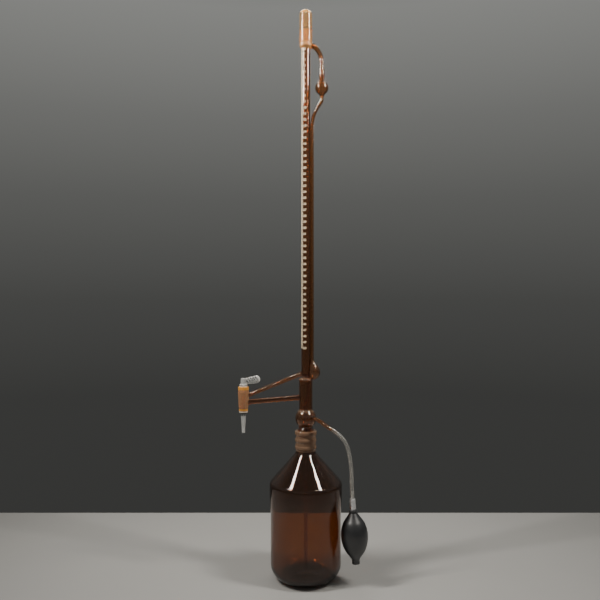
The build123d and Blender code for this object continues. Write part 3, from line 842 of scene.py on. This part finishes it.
def key_faces(c, n):
    """The ground plug, the dulled jet, and the rim and ridge crests of the handle, which are whitened as painted
    highlights.
    """
    if c.z < 290.0:
        return 0.45
    if 297.2 < c.z < 345.0:
        return 4.6 < math.hypot(c.x - COCK_X, c.y) < 7.6
    rel = c - Vector((COCK_X, 0, 0)) - lo_c
    s = rel.dot(axis)
    if c.z < 346.5:
        return 0.0
    if s < 0.5:
        return 0.4
    h = 5.4 + (7.1 - 5.4) * min(1.0, s / gap)
    if s > gap:
        h = math.sqrt(max(0.02, 7.1**2 - (s - gap) ** 2))
    a = math.atan2(rel.dot(axis.cross(Y)) / h, rel.y / 2.9)
    turn_ = 2 * math.pi * s / 4.6
    # The rim and the crossed ridge crests of the handle are dulled white as painted highlights.
    if abs(math.sin(a)) > 0.9 or s > gap + 3.0:
        return 0.75
    return 0.7 if max(math.cos(turn_ + 4 * a), math.cos(turn_ - 4 * a)) > 0.9 else 0.0


mark(key, key_faces)
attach(key, "key")
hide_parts("stopcock_key", "key_handle")

# ---------------------------------------------------------------- rubber bulb
down = (P[-1] - P[-2]).normalized()
xdir = Vector((0, -1, 0))
xdir = (xdir - down * xdir.dot(down)).normalized()
ydir = down.cross(xdir)
place = Matrix(
    (
        (xdir.x, ydir.x, down.x, P[-1].x),
        (xdir.y, ydir.y, down.y, P[-1].y),
        (xdir.z, ydir.z, down.z, P[-1].z),
        (0, 0, 0, 1),
    )
)
bulb_outer = [
    (6.9, 24.8), (8.3, 27.0), (11.0, 31.2), (14.2, 35.8), (17.7, 40.8), (20.3, 46.4), (22.2, 52.8),
    (23.4, 60.0), (23.6, 66.0), (23.1, 72.4), (22.0, 78.4), (20.2, 84.6), (17.4, 90.8), (14.2, 95.8),
    (11.2, 99.8), (8.6, 103.4), (6.8, 107.4),
]
bulb_inner = [
    (4.2, 99.4), (8.4, 97.6), (12.0, 94.0), (15.1, 89.2), (17.6, 83.6), (19.3, 77.8), (20.4, 72.0),
    (20.9, 66.0), (20.7, 60.4), (19.6, 53.8), (17.8, 47.6), (15.2, 42.4), (11.8, 37.4), (8.2, 33.6),
    (4.0, 30.6),
]
bulb_rz = (
    outline([(4.0, 19.7), (7.6, 19.7, 0.7), (7.6, 22.6, 0.7), (6.9, 23.4, 0.4), (6.9, 24.8)])[:-1]
    + smooth(bulb_outer, 5)[:-1]
    + outline([(6.8, 107.4), (6.5, 109.4), (6.8, 110.4, 0.6), (6.8, 113.2, 0.6), (6.4, 114.0, 0.4), (4.2, 114.0)])
    + smooth(bulb_inner, 4)
)


def mould_seam(r, z, a):
    """A fine raised line where the two halves of the mould meet."""
    if r < 6.0 or not 24.0 < z < 109.0 or (r < 18.3 and z > 29.0 and is_inner(r, z)):
        return r
    near = min(abs((a - b + math.pi) % (2 * math.pi) - math.pi) for b in (math.radians(62), math.radians(242)))
    return r + 0.16 * math.exp(-((near * r / 0.45) ** 2))


def is_inner(r, z):
    return any(abs(r - q) < 1e-6 and abs(z - w) < 1e-6 for q, w in inner_set)


inner_set = smooth(bulb_inner, 4)
rubber = turned("hand_bulb_rubber", bulb_rz, 220, place, shape=mould_seam, sharp=50)
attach(rubber, HOME["rubber_bulb"])
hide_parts("rubber_bulb")


# ---------------------------------------------------------------- materials
def fresh(name):
    mat = bpy.data.materials.new(name)
    mat.use_nodes = True
    tree = mat.node_tree
    return mat, tree, tree.nodes["Principled BSDF"], tree.nodes["Material Output"]


def noise(tree, scale, detail=4.0, rough=0.55, stretch=(1, 1, 1)):
    coord = tree.nodes.new("ShaderNodeTexCoord")
    mapping = tree.nodes.new("ShaderNodeMapping")
    mapping.inputs["Scale"].default_value = stretch
    tex = tree.nodes.new("ShaderNodeTexNoise")
    tex.inputs["Scale"].default_value = scale
    tex.inputs["Detail"].default_value = detail
    tex.inputs["Roughness"].default_value = rough
    tree.links.new(coord.outputs["Object"], mapping.inputs["Vector"])
    tree.links.new(mapping.outputs["Vector"], tex.inputs["Vector"])
    return tex.outputs["Fac"]


def ranged(tree, value, a0, a1, b0, b1):
    node = tree.nodes.new("ShaderNodeMapRange")
    for key_, v in (("From Min", a0), ("From Max", a1), ("To Min", b0), ("To Max", b1)):
        node.inputs[key_].default_value = v
    tree.links.new(value, node.inputs["Value"])
    return node.outputs["Result"]


def mixed(tree, fac, a, b):
    """Mixes two colours, or two sockets, by a value."""
    node = tree.nodes.new("ShaderNodeMix")
    node.data_type = "RGBA"
    for socket, v in ((node.inputs[0], fac), (node.inputs[6], a), (node.inputs[7], b)):
        if isinstance(v, (int, float)):
            socket.default_value = v
        elif isinstance(v, tuple):
            socket.default_value = (*v, 1.0)
        else:
            tree.links.new(v, socket)
    return node.outputs[2]


def blended(tree, fac, a, b):
    node = tree.nodes.new("ShaderNodeMix")
    node.data_type = "FLOAT"
    for socket, v in ((node.inputs[0], fac), (node.inputs[2], a), (node.inputs[3], b)):
        if isinstance(v, (int, float)):
            socket.default_value = v
        else:
            tree.links.new(v, socket)
    return node.outputs[0]


def bump(tree, shader, height, strength, distance):
    node = tree.nodes.new("ShaderNodeBump")
    node.inputs["Strength"].default_value = strength
    node.inputs["Distance"].default_value = distance
    tree.links.new(height, node.inputs["Height"])
    tree.links.new(node.outputs["Normal"], shader.inputs["Normal"])


def glassy(name, tint_a, tint_b, frost_and_highlight_tint, absorb, transmission=1.0, clear=(0.015, 0.06), ground_rough=0.38, wave=0.25, ior=1.51, ground_pass=0.55):
    """Glass with a faint film, waviness, ground zones, some of which are painted highlights, and absorption per metre
    for red, green and blue.
    """
    mat, tree, shader, output = fresh(name)
    # The attribute holds real ground glass and also the zones dulled as painted highlights and painted glow.
    attribute = tree.nodes.new("ShaderNodeAttribute")
    attribute.attribute_name = "ground"
    ground = attribute.outputs["Fac"]
    film = noise(tree, 26.0, 5.0, 0.6)
    streak = noise(tree, 9.0, 2.0, 0.4, (1, 1, 0.25))
    body = mixed(tree, streak, tint_a, tint_b)
    grain = noise(tree, 420.0, 3.0, 0.7)
    tree.links.new(mixed(tree, ground, body, mixed(tree, grain, frost_and_highlight_tint, tuple(0.86 * c for c in frost_and_highlight_tint))), shader.inputs["Base Color"])
    tree.links.new(
        blended(tree, ranged(tree, ground, 0.6, 1.0, 0.0, 1.0), ranged(tree, film, 0.35, 0.75, *clear), ranged(tree, grain, 0.3, 0.7, ground_rough * 0.85, ground_rough * 1.15)),
        shader.inputs["Roughness"],
    )
    shader.inputs["IOR"].default_value = ior
    tree.links.new(blended(tree, ground, transmission, ground_pass), shader.inputs["Transmission Weight"])
    bump(tree, shader, streak, wave, 0.0006)
    density = max(absorb) * 1.04
    volume = tree.nodes.new("ShaderNodeVolumeAbsorption")
    volume.inputs["Color"].default_value = (*[1.0 - a / density for a in absorb], 1.0)
    volume.inputs["Density"].default_value = density
    tree.links.new(volume.outputs["Volume"], output.inputs["Volume"])
    return mat


def coloured(name, a, b, scale, rough, metallic=0.0, bumps=(60.0, 0.2, 0.0003), coat=0.0, transmission=0.0, ior=1.5, specular=None, stretch=(1, 1, 1)):
    mat, tree, shader, _ = fresh(name)
    n = noise(tree, scale, 5.0, 0.6, stretch)
    tree.links.new(mixed(tree, n, a, b), shader.inputs["Base Color"])
    tree.links.new(ranged(tree, n, 0.3, 0.7, *rough), shader.inputs["Roughness"])
    shader.inputs["Metallic"].default_value = metallic
    shader.inputs["Coat Weight"].default_value = coat
    shader.inputs["Transmission Weight"].default_value = transmission
    shader.inputs["IOR"].default_value = ior
    if specular is not None:
        shader.inputs["Specular IOR Level"].default_value = specular
    bump(tree, shader, noise(tree, bumps[0], 4.0, 0.6), bumps[1], bumps[2])
    return mat


amber = glassy("amber_glass_burette", (0.90, 0.70, 0.51), (0.86, 0.64, 0.44), (0.99, 0.44, 0.06), (98.0, 240.0, 450.0), transmission=0.985, ground_rough=0.5, ground_pass=0.4)
amber_bottle = glassy("amber_glass_bottle", (0.90, 0.71, 0.54), (0.86, 0.65, 0.48), (0.80, 0.34, 0.12), (235.0, 375.0, 600.0), transmission=0.99, ground_pass=0.62)
amber_cap = glassy("amber_glass_cap", (0.98, 0.79, 0.52), (0.96, 0.74, 0.46), (0.98, 0.76, 0.42), (14.0, 76.0, 230.0), transmission=0.93, ground_rough=0.5)
clear = glassy("clear_glass_key", (0.97, 0.98, 0.97), (0.93, 0.95, 0.94), (0.96, 0.95, 0.93), (5.0, 4.0, 6.0), transmission=0.95, clear=(0.01, 0.04), ground_rough=0.45, wave=0.12, ground_pass=0.35)
enamel = coloured("cream_enamel", (0.94, 0.80, 0.59), (0.83, 0.67, 0.45), 34.0, (0.35, 0.6), bumps=(300.0, 0.25, 0.0001), coat=0.2)
rubber_mat = coloured("black_rubber_bulb", (0.014, 0.015, 0.017), (0.026, 0.027, 0.029), 48.0, (0.28, 0.42), bumps=(900.0, 0.16, 0.0002), specular=0.75)
pvc = coloured("clear_pvc_hose", (0.86, 0.85, 0.82), (0.78, 0.77, 0.73), 40.0, (0.08, 0.18), bumps=(120.0, 0.12, 0.0002), transmission=0.88, ior=1.5)
chrome = coloured("chrome_plate", (0.93, 0.93, 0.94), (0.84, 0.84, 0.86), 90.0, (0.20, 0.34), metallic=1.0, bumps=(500.0, 0.08, 0.0001))
steel = coloured("ball_steel", (0.62, 0.62, 0.63), (0.52, 0.52, 0.54), 120.0, (0.15, 0.28), metallic=1.0, bumps=(500.0, 0.06, 0.0001))
plastic = coloured("white_washer_plastic", (0.60, 0.52, 0.43), (0.52, 0.45, 0.37), 60.0, (0.38, 0.5), bumps=(400.0, 0.1, 0.0001))
seal = coloured("seal_ring_rubber", (0.030, 0.030, 0.032), (0.05, 0.05, 0.05), 80.0, (0.5, 0.65), bumps=(700.0, 0.15, 0.0001))


def wear(obj, mat):
    obj.data.materials.clear()
    obj.data.materials.append(mat)


for obj, mat in (
    (glass, amber), (bottle, amber_bottle), (cap, amber_cap), (key, clear), (marks, enamel), (figures, enamel),
    (rubber, rubber_mat), (hose, pvc),
):
    wear(obj, mat)
for name, mat in (
    ("bulb_valve_body", chrome), ("vent_collar", chrome), ("suction_valve_body", chrome), ("delivery_ball", steel),
    ("suction_ball", steel), ("delivery_ball_pin", steel), ("suction_ball_pin", steel), ("key_washer", plastic),
    ("key_retaining_ring", seal),
):
    wear(NODES[name], mat)

# ---------------------------------------------------------------- floor and light
floor_mat, floor_tree, floor_shader, _ = fresh("pale_floor")
floor_tree.links.new(mixed(floor_tree, noise(floor_tree, 3.0, 3.0), (0.33, 0.33, 0.323), (0.37, 0.37, 0.36)), floor_shader.inputs["Base Color"])
floor_shader.inputs["Roughness"].default_value = 0.75
floor = build("floor", [(-4000, -4000, 0), (4000, -4000, 0), (4000, 350, 0), (-4000, 350, 0)], [(0, 1, 2, 3)], fix=False)
floor.location.z = -0.0002
wear(floor, floor_mat)

world = bpy.data.worlds.new("world")
scene.world = world
world.use_nodes = True
sky = world.node_tree
coord = sky.nodes.new("ShaderNodeTexCoord")
split = sky.nodes.new("ShaderNodeSeparateXYZ")
ramp = sky.nodes.new("ShaderNodeValToRGB")
sky.links.new(coord.outputs["Generated"], split.inputs["Vector"])
sky.links.new(ranged(sky, split.outputs["Z"], -1.0, 1.0, 0.0, 1.0), ramp.inputs["Fac"])
stops = [(0.34, 0.042), (0.43, 0.046), (0.50, 0.066), (0.577, 0.108), (0.635, 0.156), (0.707, 0.240), (0.78, 0.15), (0.88, 0.07)]
while len(ramp.color_ramp.elements) < len(stops):
    ramp.color_ramp.elements.new(0.5)
for stop, (at, level) in zip(ramp.color_ramp.elements, stops):
    stop.position = at
    stop.color = (level * 0.99, level, level * 0.95, 1.0)
sky.links.new(ramp.outputs["Color"], sky.nodes["Background"].inputs["Color"])
sky.nodes["Background"].inputs["Strength"].default_value = 1.0


def lamp(name, place_at, target, size, power, spread=180, colour=(1.0, 0.95, 0.88)):
    data = bpy.data.lights.new(name, "AREA")
    data.shape, data.size, data.size_y = "RECTANGLE", size[0], size[1]
    data.energy, data.color, data.spread = power, colour, math.radians(spread)
    obj = bpy.data.objects.new(name, data)
    scene.collection.objects.link(obj)
    obj.location = place_at
    obj.rotation_mode = "QUATERNION"
    obj.rotation_quaternion = (Vector(place_at) - Vector(target)).to_track_quat("Z", "Y")
    obj.visible_camera = False
    return obj


def strip(name, start, end, target, width, power):
    """A long narrow lamp from start to end, facing the target."""
    a, b = Vector(start), Vector(end)
    x = (b - a).normalized()
    z = (a + b) / 2 - Vector(target)
    z = (z - x * z.dot(x)).normalized()
    obj = lamp(name, (a + b) / 2, target, ((b - a).length, width), power)
    obj.rotation_quaternion = Matrix((x, z.cross(x), z)).transposed().to_quaternion()
    return obj


lamp("lamp_left", (-0.70, -0.30, 1.35), (0, 0, 0.95), (0.14, 0.60), 10.5, 120)
lamp("lamp_right", (0.68, -0.33, 1.35), (0, 0, 0.95), (0.13, 0.50), 7.5, 120)
strip("lamp_left_low", (-0.68, -0.60, 1.18), (-1.09, -0.04, 0.97), (0, 0, 0.2), 0.045, 2.0)
strip("lamp_right_low", (0.53, -0.72, 1.22), (1.03, -0.21, 1.04), (0, 0, 0.2), 0.045, 2.0)
lamp("lamp_behind", (0.0, 0.45, 1.5), (0, 0, 0.3), (0.7, 0.12), 3.2)

scene.cycles.max_bounces = 24
scene.cycles.transmission_bounces = 24
scene.cycles.glossy_bounces = 8
scene.cycles.transparent_max_bounces = 16
scene.cycles.use_denoising = True

bpy.context.view_layer.update()
